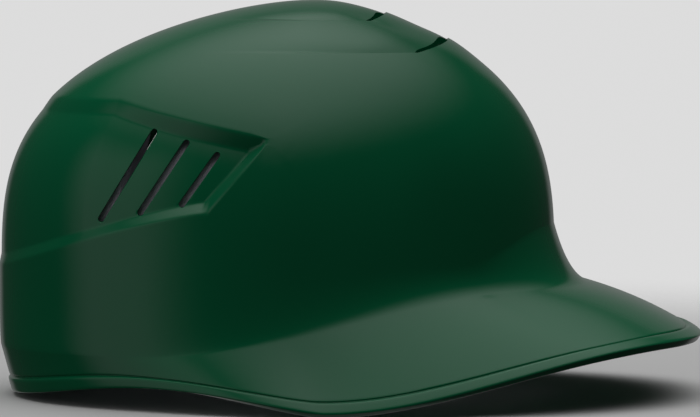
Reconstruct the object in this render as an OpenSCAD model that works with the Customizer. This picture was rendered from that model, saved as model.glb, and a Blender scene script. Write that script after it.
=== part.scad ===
// Catcher's skull cap: a thin moulded shell with a short bill, a recessed slotted panel round
// each side and the back, two hooded top vents a side, a beaded rim, and a bonded foam lining.
// X points to the front, Y to the wearer's left, Z up. The origin is on the ground, under the
// middle of the cap, which rests on its two temple points and the back of its rim.

/* [Shell] */
// Length over the rear wall and the tip of the bill
total_l = 293; // [280:1:306]
// Height of the crown above the ground
total_h = 164; // [156:1:174]
// Length of the dome at its widest level
dome_l = 232; // [224:1:240]
// Width of the dome at its widest level
dome_w = 200; // [190:1:212]
// Height of the dome's widest level
belt_h = 50; // [46:1:54]
// How far the crown lies ahead of the middle of the dome
crown_fwd = 16; // [8:1:22]
// Thickness of the moulded wall
wall = 3; // [2.4:0.1:3.6]

/* [Bill and rim] */
// Width over the rim at the temples, without the bead
rim_w = 242; // [232:1:250]
// Width that the rear of the rim is drawn from, without the bead
rim_back_w = 216; // [208:1:222]
// Height of the bill's tip
tip_h = 24; // [18:0.5:30]
// How far forward the temple points lie
temple_x = -10; // [-20:1:4]
// How far the back of the rim is drawn in from the rear wall
rear_tuck = 6; // [3:0.5:8]
// Height of the arch behind each ear
arch_h = 8; // [4:0.1:12]
// Height at which the forehead turns into the bill
brow_h = 49; // [46:0.5:54]
// How far the bill bows above a straight slope
bill_bow = 4.8; // [1:0.1:6]
// Height of the bead along the rim
bead_h = 6; // [4:0.1:7]
// How far the bead stands proud of the wall
bead_out = 0.9; // [0.6:0.1:1.8]

/* [Side panel] */
// Depth of the panel behind its front point
panel_depth = 4.5; // [3:0.1:5]
// Depth of the panel at the back of the cap
panel_back_depth = 0.9; // [0.5:0.1:2]
// Height of the panel's front point
point_h = 109.5; // [106:0.5:114]
// Height of the panel's upper edge round the back
panel_top_h = 124; // [121:0.5:127]
// Height of the panel's lower front corner
heel_h = 80; // [76:0.5:83]
// Height of the panel's lower edge at the back
panel_low_h = 54; // [52.5:0.5:57]
// Width of the sloping upper wall of the panel
upper_slope_w = 5; // [4:0.5:8]
// Width of the sloping lower wall of the panel
lower_slope_w = 4.5; // [3:0.5:6]

/* [Slots] */
// Width of a side slot
slot_w = 2.4; // [2:0.1:3.5]
// Distance between the side slots, measured front to back
slot_pitch = 14.6; // [13.5:0.1:15.5]
// Where the middle of the centre slot lies, front to back
slot_x = -74.7; // [-77:0.1:-73]
// Height of the centre slot's middle, with the front one lower and the rear one higher
slot_h = 93.3; // [91.5:0.1:95]
// Length of the rear slot
slot_rear_l = 43.5; // [38:0.5:46]
// Length of the centre slot
slot_mid_l = 36; // [30:0.5:38]
// Length of the front slot
slot_front_l = 26.5; // [20:0.5:29]
// Lean of the centre slot from upright, with the front one leaning more and the rear one less
slot_lean = 33.5; // [29:0.5:37]

/* [Top vents] */
// How far forward the front pair of vents reaches
front_vent_x = 41; // [37:1:45]
// How far forward the rear pair of vents reaches
rear_vent_x = 15; // [12:1:20]
// Width over the front pair of vents
front_vent_span = 88; // [78:1:92]
// Width over the rear pair of vents
rear_vent_span = 57; // [50:1:62]
// Width of a vent's opening
vent_w = 4.2; // [3:0.1:5]
// How far the hood in front of a vent stands proud
hood_rise = 0.8; // [0.5:0.1:1.5]
// How far the dome dips behind a vent
vent_dip = 2.1; // [1.2:0.1:2.4]
// Width of the bridge between the left and right vents
bridge_w = 8; // [6:0.5:10]

/* [Lining] */
// Thickness of the impact foam
foam_t = 11; // [8:0.5:13]
// Thickness of the fabric-covered comfort pads
comfort_t = 5; // [3:0.5:6]
// Clearance between a pad and what it is bonded to
pad_gap = 0.6; // [0.4:0.05:0.9]

/* [Hidden] */

shell_colour = [0.04, 0.25, 0.13];
foam_colour = [0.74, 0.73, 0.77];
comfort_colour = [0.12, 0.12, 0.13];

dome_mid = dome_l / 2 - total_l / 2;
crown_x = dome_mid + crown_fwd;
dome_h = total_h - belt_h;
dome_round = 1.53;
dome_steep = 3.18;
crown_soft = 0.12;
bill_round = 2.35;
lip_lean = 0.17;

// In front of the crown the dome is flattened a little, most at flat_x, over flat_reach each way
flat_depth = 0.8;
flat_x = crown_x + 35;
flat_reach = 28;
flat_half = 20;
flat_fade = 26;

// The skirt leaves the dome above the brow, and these place the corners of its two curves
brow_rise = 22;
side_rise = 9;
brow_out = 6;
side_turn = 0.46;
side_bow = 0.5;
bill_bow_at = 0.61;
turn_at = 0.25;
flare_l = 0.65;
tip_x = total_l / 2 - lip_lean;
rim_back_x = -total_l / 2 + rear_tuck;
// The flare leaves the rim's inner edge this much lower than its outer one
rim_lift = 1.28;

// Bearings on the dome: 0 is the front, 90 the left, 180 the back
point_a = 92.2;
heel_a = 103.3;
crease_a = 132.5;
panel_middle_a = 150;
back_a = 180;
front_slope_w = 7.2;
nose_h = 2.6;
floor_min = 1;
crease_fill = 1.1;
crease_depth = (panel_depth + panel_back_depth) / 2 - crease_fill;
middle_depth = crease_depth + 0.2;

function smooth(t) = let (u = min(1, max(0, t))) u * u * (3 - 2 * u);
function mix(a, b, t) = a + (b - a) * t;
function signed_pow(x, e) = sign(x) * pow(abs(x), e);
function bearing(a) = let (b = abs(a)) b > 180 ? 360 - b : b;

// Share of the bill in the skirt at bearing a, from 1 at the front to 0 far behind the temple,
// and the share of its middle, which alone is bowed and pushed out over the brow
bill_from = -0.55;
bill_over = 1.3;
front_from = 0.68;
front_over = 0.3;
function bill_share(a) = smooth((cos(a) - bill_from) / bill_over);
function front_share(a) = smooth((cos(a) - front_from) / front_over);

// Widest outline of the dome, an ellipse
function belt_x(a) = dome_mid + dome_l / 2 * cos(a);
function belt_y(a) = dome_w / 2 * sin(a);

// Share of the belt's radius that is left at height z, by a superellipse from belt to crown
crown_low = pow(crown_soft, dome_round);
crown_range = pow(1 + crown_soft * crown_soft, dome_round / 2) - crown_low;
function reach(z) =
    let (t = min(1, max(0, (z - belt_h) / dome_h)))
    let (f = crown_range * (1 - pow(t, dome_steep)) + crown_low)
    sqrt(max(0, pow(f, 2 / dome_round) - crown_soft * crown_soft));

// How far the flat in front of the crown lies below the full dome
function flat_at(x, y) =
    flat_depth * smooth(1 - abs(x - flat_x) / flat_reach) * (1 - smooth((abs(y) - flat_half) / flat_fade));

// Point of the dome at a bearing and level, where the level is its height on the full dome
function dome_point(a, z) =
    let (k = reach(z), x = mix(crown_x, belt_x(a), k), y = belt_y(a) * k)
    [x, y, z - flat_at(x, y)];

// Height on the dome at share k of the belt's radius
function height_at(k) =
    let (f = pow(k * k + crown_soft * crown_soft, dome_round / 2) - crown_low)
    belt_h + dome_h * pow(max(0, 1 - f / crown_range), 1 / dome_steep);

// Share of the belt's radius and height of the dome over a point in plan
function share_at(x, y) =
    let (u = (x - crown_x) / (dome_l / 2), w = y / (dome_w / 2), c = -crown_fwd / (dome_l / 2))
    (-u * c + sqrt(u * u * c * c + (1 - c * c) * (u * u + w * w))) / (1 - c * c);
function dome_height(x, y) = height_at(share_at(x, y)) - flat_at(x, y);

// Rim of the shell: a superellipse bill in front of the temples, and behind them a half ellipse
// that the bill's flare runs out into
function rim_point(a) =
    let (e = 2 / bill_round, c = cos(a), half = rim_w / 2)
    let (back_half = mix(rim_back_w / 2, half, smooth((c + flare_l) / flare_l)))
    c > 0
        ? let (f = pow(c, e))
          [mix(temple_x, tip_x, f), half * signed_pow(sin(a), e), rim_lift + tip_h * smooth(1.1 * f)]
        : let (r = -c, arch = pow(sin(180 * pow(r, 1.1)), 1.1))
          [mix(temple_x, rim_back_x, r), back_half * sin(a), rim_lift + arch_h * arch];

// The skirt leaves the dome at this level, turns at the brow point and bows on its way to the rim
function skirt_top(a) =
    mix(belt_h, brow_h + mix(side_rise, brow_rise, front_share(a)), bill_share(a));
function brow_point(a) =
    let (p = dome_point(a, skirt_top(a)), out = [p[0] - dome_mid, p[1]])
    let (away = out / norm(out) * brow_out * front_share(a))
    [p[0] + away[0], p[1] + away[1], mix(belt_h * side_turn, brow_h, bill_share(a))];
function bow_point(a) =
    let (s = front_share(a), f = mix(side_bow, bill_bow_at, s))
    mix(brow_point(a), rim_point(a), f) + [0, 0, bill_bow * s];
function turn_point(a) = mix(brow_point(a), bow_point(a), turn_at);
function curve(p, q, r, t) = mix(mix(p, q, t), mix(q, r, t), t);

// The skirt's face: w from 1 to 2 runs round the brow, and from 2 to 3 down to the rim
function skirt(a, w) =
    w < 2 ? curve(dome_point(a, skirt_top(a)), brow_point(a), turn_point(a), w - 1)
          : curve(turn_point(a), bow_point(a), rim_point(a), w - 2);

// Upper and lower edges of the side panel
function panel_top(b) = mix(point_h, panel_top_h, min(1, (b - point_a) / (crease_a - point_a)));
function front_line(b) = mix(point_h - nose_h, heel_h, (b - point_a) / (heel_a - point_a));
function heel_line(b) =
    let (x0 = belt_x(heel_a), run = max(0, (x0 - belt_x(b)) / (x0 + total_l / 2)))
    heel_h - (heel_h - panel_low_h) * pow(run, 1.3);
function panel_low(b) = max(front_line(b), heel_line(b));
function panel_low_in(b) = max(front_line(b) + front_slope_w, heel_line(b) + lower_slope_w);
function panel_squeeze(b) =
    let (open = panel_top(b) - panel_low(b) - floor_min)
    let (slopes = upper_slope_w + panel_low_in(b) - panel_low(b))
    min(1, max(0, open / slopes));
function floor_depth(b) =
    b < crease_a ? mix(panel_depth, crease_depth, max(0, (b - point_a) / (crease_a - point_a)))
    : b < panel_middle_a
        ? mix(crease_depth, middle_depth, (b - crease_a) / (panel_middle_a - crease_a))
        : mix(middle_depth, panel_back_depth, (b - panel_middle_a) / (back_a - panel_middle_a));

// Depth of the panel at a bearing and height
function dent(a, z) =
    let (b = bearing(a))
    b <= point_a ? 0 :
    let (s = panel_squeeze(b))
    let (down = (panel_top(b) - z) / max(0.01, upper_slope_w))
    let (up = (z - panel_low(b)) / max(0.01, panel_low_in(b) - panel_low(b)))
    floor_depth(b) * min(s, max(0, min(down, up)));

// Rows of the shell. The panel's edges lie on rows, which gather at its point and spread out
// again in front of it.
crown_rows = 9;
panel_rows = 4;
fan_top = 121;
fan_low = 78;
fan_a = 16;
fan_edge = 0.15;
function spread(b) = smooth((point_a - b) / fan_a);
function row_top(b) =
    b >= point_a ? panel_top(b) : mix(point_h, fan_top, spread(b));
function row_low(b) =
    b >= point_a ? panel_low(b) : mix(point_h - nose_h, fan_low, spread(b));
function row_top_in(b) =
    b >= point_a ? panel_top(b) - upper_slope_w * panel_squeeze(b)
                 : mix(row_top(b), row_low(b), fan_edge);
function row_low_in(b) =
    b >= point_a ? panel_low(b) + (panel_low_in(b) - panel_low(b)) * panel_squeeze(b)
                 : mix(row_low(b), row_top(b), fan_edge);
function dome_rows(a) =
    let (b = bearing(a), k1 = reach(row_top(b)))
    concat([for (i = [1:crown_rows]) height_at(k1 * i / crown_rows)],
           [for (i = [0:panel_rows]) mix(row_top_in(b), row_low_in(b), i / panel_rows)],
           [for (i = [0:2]) mix(row_low(b), skirt_top(a), i / 3)]);

bead_start = 0.35;
bead_round = 1.2;
bead_soft = 0.9;
lip_round = 0.6;
skirt_middle = [2.35, 2.65];
function bead_w(a, from_rim) = 3 - from_rim / (2 * norm(rim_point(a) - bow_point(a)));
function skirt_rows(a) =
    concat([for (i = [0:4]) 1 + i / 4], skirt_middle,
           [bead_w(a, bead_h + bead_start), bead_w(a, bead_h), bead_w(a, bead_round), 3]);

function face_point(a, w, on_dome) = on_dome ? dome_point(a, w) : skirt(a, w);
function normal(a, w, on_dome) =
    let (da = 0.5, dw = on_dome ? 0.25 : 0.01)
    let (low = on_dome ? w - dw : min(3, w + dw))
    let (high = on_dome ? min(total_h - 0.2, w + dw) : max(1, w - dw))
    let (along = face_point(a + da, w, on_dome) - face_point(a - da, w, on_dome))
    let (up = face_point(a, high, on_dome) - face_point(a, low, on_dome))
    let (n = cross(along, up))
    n / norm(n);
// A point of the wall, moved out along the normal
function wall_point(a, w, on_dome, out) = face_point(a, w, on_dome) + normal(a, w, on_dome) * out;

step_a = 6;
bearings_left = concat([for (a = [0:step_a:72]) a], [78, 83, 87, 90.5, point_a, 95.5, 98, 100.5],
                       [heel_a, 105.5, 109, 114, 119, 124, 129.5, crease_a, 141],
                       [for (a = [147:step_a:177]) a]);
bearings_right = [for (i = [len(bearings_left) - 1:-1:1]) 360 - bearings_left[i]];
bearings = concat(bearings_left, [back_a], bearings_right);

bead_profile = [0, bead_out, bead_out, bead_out - bead_soft];
function outer_column(a) =
    let (s = skirt_rows(a), plain = len(s) - len(bead_profile))
    concat([for (z = dome_rows(a)) wall_point(a, z, true, -dent(a, z))],
           [for (i = [0:len(s) - 1]) wall_point(a, s[i], false, i < plain ? 0 : bead_profile[i - plain])]);
function inner_column(a) =
    let (s = skirt_rows(a), d = dome_rows(a))
    concat([wall_point(a, 3, false, lip_round - wall)],
           [for (i = [len(s) - 2:-1:0]) wall_point(a, s[i], false, -wall)],
           [for (i = [len(d) - 1:-1:0]) wall_point(a, d[i], true, -wall - dent(a, d[i]))]);

// Closed skin over columns of points, with a pole at each end of the columns
module skin(columns, first, last) {
    m = len(columns);
    n = len(columns[0]);
    points = concat([first, last], [for (c = columns) each c]);
    faces = concat(
        [for (i = [0:m - 1]) [0, 2 + ((i + 1) % m) * n, 2 + i * n]],
        [for (i = [0:m - 1], j = [0:n - 2])
            each let (p = 2 + i * n + j, q = 2 + ((i + 1) % m) * n + j)
                [[p, q, p + 1], [q, q + 1, p + 1]]],
        [for (i = [0:m - 1]) [1, 2 + i * n + n - 1, 2 + ((i + 1) % m) * n + n - 1]]);
    polyhedron(points = points, faces = faces, convexity = 8);
}

// Bearing of the point of the dome at x and height z on the left side
function side_bearing(x, z) =
    let (k = reach(z))
    acos(((x - crown_x) / k + crown_x - dome_mid) / (dome_l / 2));

cut_l = 56;
module stadium(length, width) {
    hull() for (e = [-1, 1])
        translate([e * (length - width) / 2, 0, 0]) cylinder(d = width, h = cut_l, center = true, $fn = 20);
}

// The slots go straight in from the side, as the tool that moulds them does
slot_lengths = [slot_rear_l, slot_mid_l, slot_front_l];
lean_step = 2;
slot_drop = 0.6;
module side_slots() {
    for (side = [0, 1], i = [0:2]) {
        x = slot_x + (i - 1) * slot_pitch;
        z = slot_h - (i - 1) * slot_drop;
        lean = slot_lean + (i - 1) * lean_step;
        mirror([0, side, 0]) translate([x, dome_point(side_bearing(x, z), z)[1], z])
            rotate([0, lean - 90, 0]) rotate([90, 0, 0]) stadium(slot_lengths[i], slot_w);
    }
}

// Each pair of vents is an edge across the dome: how far forward its middle lies, half its span,
// how far its ends are swept back, and the length of the dip behind it
front_sweep = 13.3;
rear_sweep = 6.6;
sweep_power = 2.5;
front_dip_l = 95;
rear_dip_l = 62;
vents = [[front_vent_x, front_vent_span / 2, front_sweep, front_dip_l],
         [rear_vent_x, rear_vent_span / 2, rear_sweep, rear_dip_l]];
TIP = 0;
SPAN = 1;
SWEEP = 2;
RUN = 3;
bridge = bridge_w / 2;
hood_l = 16;
dip_edge = 26;
dip_side = 10;
dip_fade = 1.2;
dip_spine = 0.7;
// Least wall over a dip before its inside is backed, and the play between blocks that are joined
thin = 1.2;
clear = 0.4;

function vent_edge(v, y) = v[TIP] - v[SWEEP] * pow(abs(y) / v[SPAN], sweep_power);
// Half the width of a dip, whose sides are a level curve of the dome through the edge's ends
function dip_half(v, s) =
    let (corner = vent_edge(v, v[SPAN]), k = share_at(corner, v[SPAN]))
    let (along = ((corner - s * v[RUN] - crown_x) / k + crown_x - dome_mid) / (dome_l / 2))
    dome_w / 2 * k * sqrt(max(0, 1 - along * along));
// Plan position of the dipped face behind a pair of vents, s from the edge back and w from the
// right to the left
function dip_plan(v, s, w) = [vent_edge(v, w * v[SPAN]) - s * v[RUN], w * dip_half(v, s)];
// A dip is deepest along its edge and its sides, and leaves a spine along the middle of the dome
function dip_depth(v, s, w) =
    let (nose = (1 - smooth(s * v[RUN] / dip_edge)) * smooth(abs(w) / dip_spine))
    let (side = pow(max(0, 1 - (1 - abs(w)) * dip_half(v, s) / dip_side), 2))
    vent_dip * pow(1 - s, dip_fade) * (1 - (1 - nose) * (1 - side));
// Depth of the dip behind a pair of vents at a point in plan, with s found by steps
function dip_at(v, x, y, s = 0, steps = 4) =
    let (w = y / dip_half(v, s), s_next = (vent_edge(v, w * v[SPAN]) - x) / v[RUN])
    steps > 0 ? dip_at(v, x, y, min(1, max(0, s_next)), steps - 1)
              : abs(w) > 1 || s_next < 0 ? 0 : dip_depth(v, s, w);
// Plan position of the hood in front of a vent, s from the edge forward and w from the middle out
function hood_plan(v, s, w) = [vent_edge(v, w * v[SPAN]) + s * hood_l, w * v[SPAN]];
function hood_out(v, s, w) = hood_rise * (1 - smooth(s)) * (1 - pow(abs(w), 4));

// Closed block between two grids of points, the upper one wound anticlockwise seen from above
module block(upper, lower) {
    m = len(upper);
    n = len(upper[0]);
    points = concat([for (r = upper) each r], [for (r = lower) each r]);
    o = m * n;
    faces = concat(
        [for (i = [0:m - 2], j = [0:n - 2])
            each let (p = i * n + j, q = p + n) [[p, p + 1, q], [q, p + 1, q + 1]]],
        [for (i = [0:m - 2], j = [0:n - 2])
            each let (p = o + i * n + j, q = p + n) [[p, q, p + 1], [q, q + 1, p + 1]]],
        [for (i = [0:m - 2])
            each let (p = i * n, q = p + n) [[p, q, o + p], [q, o + q, o + p]]],
        [for (i = [0:m - 2])
            each let (p = i * n + n - 1, q = p + n) [[p, o + p, q], [q, o + p, o + q]]],
        [for (j = [0:n - 2]) each [[j, o + j, j + 1], [j + 1, o + j, o + j + 1]]],
        [for (j = [0:n - 2])
            each let (p = (m - 1) * n + j) [[p, p + 1, o + p], [p + 1, o + p + 1, o + p]]]);
    polyhedron(points = points, faces = faces, convexity = 6);
}

dip_s = [1, 0.6, 0.36, 0.22, 0.12, 0.05, 0];
dip_w = [-1, -0.94, -0.86, -0.68, -0.4, -0.16, 0, 0.16, 0.4, 0.68, 0.86, 0.94, 1];
hood_s = [0, 0.3, 0.6, 1];
hood_w = [-1:0.2:1];
cut_above = 4;
sink = 0.02;
function raised(p, z) = [p[0], p[1], dome_height(p[0], p[1]) + z];
module dips() {
    for (v = vents)
        block([for (s = dip_s) [for (w = dip_w) raised(dip_plan(v, s, w), cut_above)]],
              [for (s = dip_s) [for (w = dip_w)
                  raised(dip_plan(v, s, w), clear - dip_depth(v, s, w) * (1 + clear / vent_dip))]]);
}
// Inside, the wall follows the deepest part of a dip
module dip_backs() {
    for (v = vents)
        block([for (s = dip_s) [for (w = dip_w) raised(dip_plan(v, s, w), -clear)]],
              [for (s = dip_s) [for (w = dip_w)
                  raised(dip_plan(v, s, w), -wall - max(-clear, dip_depth(v, s, w) - thin))]]);
}

// The rear hoods stand on the dipped face behind the front vents
function on_hood(i, s, w, z) =
    let (p = hood_plan(vents[i], s, w), under = i == 0 ? 0 : dip_at(vents[0], p[0], p[1]))
    raised(p, z - under);
module hoods() {
    for (i = [0:len(vents) - 1])
        block([for (s = hood_s) [for (w = hood_w) on_hood(i, s, w, hood_out(vents[i], s, w) - sink)]],
              [for (s = hood_s) [for (w = hood_w) on_hood(i, s, w, -thin)]]);
}

// Plan of a vent: it follows the edge, and its width falls off at both ends
vent_lead = 0.3;
vent_steps = 12;
function vent_y(v, t) = mix(bridge, v[SPAN], (1 + t) / 2);
module top_vents() {
    turns = [for (i = [0:vent_steps]) -cos(180 * i / vent_steps)];
    for (v = vents, side = [0, 1]) {
        front = [for (t = turns) [vent_edge(v, vent_y(v, t)) + vent_lead, vent_y(v, t)]];
        rear = [for (t = turns)
            [vent_edge(v, vent_y(v, t)) - vent_w * sqrt(1 - pow(t, 6)), vent_y(v, t)]];
        mirror([0, side, 0]) translate([0, 0, belt_h + dome_h / 2])
            linear_extrude(dome_h) polygon(concat(front, [for (i = [vent_steps:-1:0]) rear[i]]));
    }
}

module moulded_wall() {
    skin([for (a = bearings) concat(outer_column(a), inner_column(a))],
         [crown_x, 0, total_h], [crown_x, 0, total_h - wall]);
}

module shell() {
    color(shell_colour) difference() {
        union() {
            difference() {
                union() {
                    moulded_wall();
                    dip_backs();
                }
                dips();
            }
            hoods();
        }
        side_slots();
        top_vents();
    }
}

// The lining follows the inside of the wall, and hangs straight down below the widest level. It
// steps in gently ahead of the panel, whose floor lies deeper.
panel_lead = 24;
panel_over = 8;
dip_room = 0.6;
function panel_share(b) = smooth((b - point_a + panel_lead) / panel_lead);
function tuck(z) = rear_tuck * pow(max(0, belt_h - z) / belt_h, 2);
function lining_point(a, z, depth) =
    let (b = bearing(a), level = max(z, belt_h + 1), n = normal(a, level, true))
    let (flat = [n[0], n[1], 0] / norm([n[0], n[1]]))
    let (out = z < level ? flat : n, boss = floor_depth(max(b, point_a)) * panel_share(b))
    let (room = mix(boss, dip_room, smooth((z - panel_top_h + upper_slope_w) / panel_over)))
    let (deep = depth + room + tuck(z), p = dome_point(a, level))
    [p[0], p[1], p[2] + min(0, z - level)] - out * deep;

foam_back = wall + pad_gap;
comfort_back = foam_back + foam_t + pad_gap;
foam_edge = 0.55;
comfort_edge = 0.35;
crown_power = 5;
function pillow(u, w, edge) =
    let (f = (1 - pow(abs(2 * u - 1), crown_power)) * (1 - pow(abs(2 * w - 1), crown_power)))
    edge + (1 - edge) * sqrt(max(0, f));

// A pad from bearing a0 to a1 and from height z0 to z1, with round corners and a crowned face
pad_rows = [0, 0.06, 0.2, 0.5, 0.8, 0.94, 1];
pad_corner = 0.14;
pad_step_a = 9;
module pad(a0, a1, z0, z1, back, thick, edge) {
    function spot(u, w, depth) =
        let (inset = 1 - pad_corner * pow(abs(2 * w - 1), crown_power + 1))
        lining_point(mix(a0, a1, 0.5 + (u - 0.5) * inset), mix(z0, z1, w), depth);
    n = max(4, ceil((a1 - a0) / pad_step_a));
    us = concat([0, 0.06], [for (i = [1:n - 1]) i / n], [0.94, 1]);
    block([for (u = us) [for (w = pad_rows) spot(u, w, back)]],
          [for (u = us) [for (w = pad_rows) spot(u, w, back + thick * pillow(u, w, edge))]]);
}

// A round pad under the crown, out to share k1 of the belt's radius
module crown_pad(k1, back, thick, edge) {
    rings = 5;
    function spot(a, k, depth) =
        let (z = min(total_h - 0.3, height_at(k)))
        dome_point(a, z) - normal(a, z, true) * depth;
    function full(k) = back + thick * (edge + (1 - edge) * sqrt(max(0, 1 - pow(k / k1, crown_power))));
    skin([for (a = [0:15:345])
            concat([for (i = [1:rings]) spot(a, k1 * i / rings, back)],
                   [for (i = [rings:-1:1]) spot(a, k1 * i / rings, full(k1 * i / rings))])],
         [crown_x, 0, total_h - back], [crown_x, 0, total_h - back - thick]);
}

module foam(a0, a1, z0, z1) {
    color(foam_colour) pad(a0, a1, z0, z1, foam_back, foam_t, foam_edge);
}
module comfort(a0, a1, z0, z1) {
    color(comfort_colour) pad(a0, a1, z0, z1, comfort_back, comfort_t, comfort_edge);
}

// Heights of the pads' edges: the lower ones from the brow and the belt, the upper ones as shares
// of the dome's height above the belt
function dome_at(share) = belt_h + dome_h * share;
front_low = brow_h + 6;
side_low = belt_h - 4;
rear_low = belt_h - 10;
front_high = dome_at(0.55);
side_high = dome_at(0.6);
crown_front_low = dome_at(0.605);
crown_front_high = dome_at(0.79);
crown_ring_low = dome_at(0.685);
crown_ring_high = dome_at(0.895);
comfort_front_high = dome_at(0.32);
comfort_side_high = dome_at(0.335);
comfort_rear_high = dome_at(0.245);
comfort_in = 4;
crown_foam_k = 0.22;
crown_comfort_k = 0.19;
crown_drop = 1.4;

// Bearings of the pads' ends
front_a = 24;
front_side_a = [28, 62];
side_a = [66, 121];
rear_side_a = [125, 157];
rear_a = [161, 199];
crown_front_a = 18;
crown_side_a = [68, 112];
crown_rear_a = [162, 198];
comfort_front_a = 38;
comfort_side_a = [72, 116];
comfort_rear_a = [152, 208];

module foam_front() { foam(-front_a, front_a, front_low, front_high); }
module foam_front_left() { foam(front_side_a[0], front_side_a[1], front_low, front_high); }
module foam_front_right() { foam(-front_side_a[1], -front_side_a[0], front_low, front_high); }
module foam_side_left() { foam(side_a[0], side_a[1], side_low, side_high); }
module foam_side_right() { foam(-side_a[1], -side_a[0], side_low, side_high); }
module foam_rear_left() { foam(rear_side_a[0], rear_side_a[1], rear_low, side_high); }
module foam_rear_right() { foam(-rear_side_a[1], -rear_side_a[0], rear_low, side_high); }
module foam_rear() { foam(rear_a[0], rear_a[1], rear_low, side_high); }
module foam_crown() {
    color(foam_colour) crown_pad(crown_foam_k, foam_back + crown_drop, foam_t, foam_edge);
}
module foam_crown_front() { foam(-crown_front_a, crown_front_a, crown_front_low, crown_front_high); }
module foam_crown_rear() { foam(crown_rear_a[0], crown_rear_a[1], crown_ring_low, crown_ring_high); }
module foam_crown_left() { foam(crown_side_a[0], crown_side_a[1], crown_ring_low, crown_ring_high); }
module foam_crown_right() { foam(-crown_side_a[1], -crown_side_a[0], crown_ring_low, crown_ring_high); }
module comfort_front() {
    comfort(-comfort_front_a, comfort_front_a, front_low + comfort_in / 2, comfort_front_high);
}
module comfort_left() {
    comfort(comfort_side_a[0], comfort_side_a[1], side_low + comfort_in, comfort_side_high);
}
module comfort_right() {
    comfort(-comfort_side_a[1], -comfort_side_a[0], side_low + comfort_in, comfort_side_high);
}
module comfort_rear() {
    comfort(comfort_rear_a[0], comfort_rear_a[1], rear_low + comfort_in, comfort_rear_high);
}
module comfort_crown() {
    color(comfort_colour) crown_pad(crown_comfort_k, comfort_back + crown_drop, comfort_t, comfort_edge);
}

shell();
foam_front();
foam_front_left();
foam_front_right();
foam_side_left();
foam_side_right();
foam_rear_left();
foam_rear_right();
foam_rear();
foam_crown();
foam_crown_front();
foam_crown_rear();
foam_crown_left();
foam_crown_right();
comfort_front();
comfort_left();
comfort_right();
comfort_rear();
comfort_crown();
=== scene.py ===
"""Dresses the catcher's skull cap: a glossy moulded shell with its slotted side panels and hooded
top vents, the impact foam and comfort pads inside it, and a plain studio round it."""
import math
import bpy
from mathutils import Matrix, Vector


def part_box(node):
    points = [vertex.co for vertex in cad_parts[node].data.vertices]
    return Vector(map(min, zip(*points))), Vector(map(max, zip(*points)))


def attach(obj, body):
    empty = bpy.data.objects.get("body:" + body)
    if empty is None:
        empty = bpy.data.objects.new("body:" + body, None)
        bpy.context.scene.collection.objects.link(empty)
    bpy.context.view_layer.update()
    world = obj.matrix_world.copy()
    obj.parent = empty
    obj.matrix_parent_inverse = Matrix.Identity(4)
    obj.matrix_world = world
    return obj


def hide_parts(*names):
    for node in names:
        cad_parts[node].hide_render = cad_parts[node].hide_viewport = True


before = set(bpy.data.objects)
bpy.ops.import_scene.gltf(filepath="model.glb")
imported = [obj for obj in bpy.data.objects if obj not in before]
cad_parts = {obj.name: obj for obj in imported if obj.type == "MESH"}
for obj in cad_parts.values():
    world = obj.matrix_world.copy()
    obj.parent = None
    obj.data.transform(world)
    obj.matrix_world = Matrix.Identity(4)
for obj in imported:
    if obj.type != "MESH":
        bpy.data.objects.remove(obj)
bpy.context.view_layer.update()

from types import SimpleNamespace

import bpy
import numpy as np
from bpy.props import FloatProperty, FloatVectorProperty, PointerProperty
from bpy.types import Operator, Panel, PropertyGroup

bl_info = {
    "name": "Catcher skull cap",
    "version": (1, 0, 0),
    "blender": (4, 5, 0),
    "location": "3D View > Sidebar > Skull Cap",
    "description": "Builds the shell, the padding and the studio of a catcher's skull cap",
    "category": "Add Mesh",
}

MM = 0.001
SHELL_LOW, SHELL_HIGH = (np.array(corner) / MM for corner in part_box("shell"))

# Sizes in millimetres, X to the front, Y to the wearer's left, Z up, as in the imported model
total_l = round(SHELL_HIGH[0] - SHELL_LOW[0])
total_h = round(SHELL_HIGH[2])
dome_l = 232
dome_w = 200
belt_h = 50
crown_fwd = 16
rim_w = 242
rim_back_w = 216
tip_h = 24
temple_x = -10
rear_tuck = 6
arch_h = 8
brow_h = 49
bill_bow = 4.8

dome_mid = dome_l / 2 - total_l / 2
crown_x = dome_mid + crown_fwd
dome_h = total_h - belt_h
dome_round = 1.53
dome_steep = 3.18
crown_soft = 0.12
bill_round = 2.35
lip_lean = 0.17
flat_depth = 0.8
flat_x = crown_x + 35
flat_reach = 28
flat_half = 20
flat_fade = 26
brow_rise = 22
side_rise = 9
brow_out = 6
side_turn = 0.46
side_bow = 0.5
bill_bow_at = 0.61
turn_at = 0.25
bill_from = -0.55
bill_over = 1.3
front_from = 0.68
front_over = 0.3
flare_l = 0.65
arch_power = 1.1
tip_x = total_l / 2 - lip_lean
rim_back_x = -total_l / 2 + rear_tuck
rim_lift = 1.28

# The side panel: bearings are in degrees, 0 at the front, 90 at the left and 180 at the back
point_a = 92.2
heel_a = 103.3
crease_a = 132.5
panel_middle_a = 150
back_a = 180
point_h = 109.5
panel_top_h = 124
heel_h = 80
panel_low_h = 54
upper_slope_w = 5
lower_slope_w = 4.5
front_slope_w = 7.2
nose_h = 2.6
floor_min = 1
crease_fill = 1.1
panel_back_depth = 0.9
heel_power = 1.3
ridge_round = 0.3
nose_back = 0.3
nose_run = 1.4
# In front of the panel's point its four edge lines fan out to these levels over this many degrees
fan_top = 121
fan_low = 78
fan_edge = 0.15
fan_run = 16

# The slots in each panel, from the rear one forward
slot_pitch = 14.6
slot_x = -74.7
slot_h = 93.3
slot_drop = 0.6
slot_lengths = (43.5, 36, 26.5)
slot_leans = (31.5, 33.5, 35.5)
# The tool that cuts a slot: its height above the panel's face and its depths below it, and the
# radius and the ring angles of the rounded edge that it leaves
slot_above = 6
slot_below = (2, 12)
slot_edge = 0.35
edge_angles = (18, 34, 50, 68, 90)
# The dome's face is looked for this far in and out along Y, in so many halvings
face_range = (-40.0, 30.0)
halvings = 40

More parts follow.
